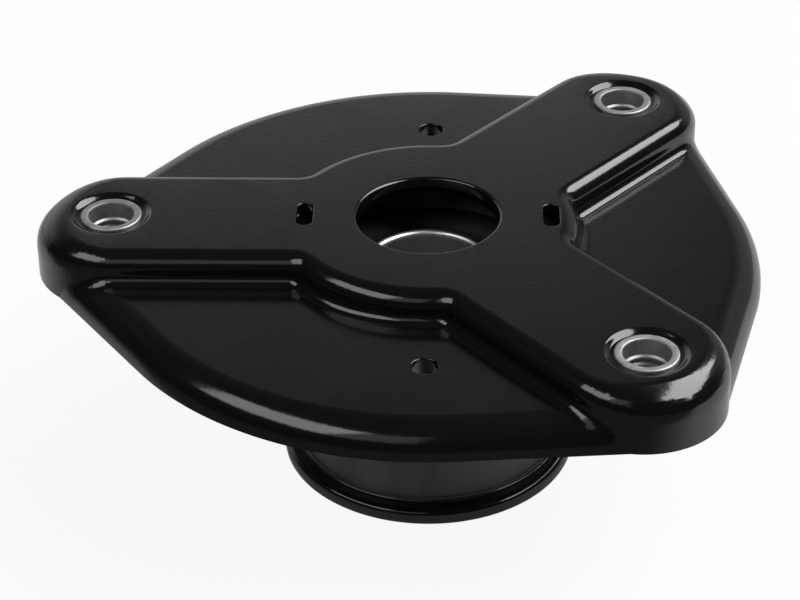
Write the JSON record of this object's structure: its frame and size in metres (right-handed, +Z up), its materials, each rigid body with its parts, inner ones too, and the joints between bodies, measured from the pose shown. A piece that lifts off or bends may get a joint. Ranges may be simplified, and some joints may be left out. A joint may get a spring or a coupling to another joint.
{
  "type": "strut mount",
  "caption": "Suspension strut top mount: a pressed plate with a raised three-arm boss and threaded press nuts over a drawn pot with a bonded rubber bush and steel cup.",
  "frame": {"origin": "on the strut axis, in the plane of the hub's flat top, where the access hole opens", "axes": "+Z up along the strut axis, away from the strut; +X between the rear and front arms, the third arm along -X"},
  "size_m": [0.1742, 0.16, 0.066],
  "materials": {
    "black_paint": "gloss",
    "zinc": "satin",
    "rubber": "matte",
    "bare_steel": "satin"
  },
  "bodies": {
    "root": {"top_plate": "black_paint", "press_nut_left": "zinc", "press_nut_rear": "zinc", "press_nut_front": "zinc", "pot": "black_paint", "rubber_bush": "rubber", "inner_cup": "bare_steel"}
  },
  "joints": []
}
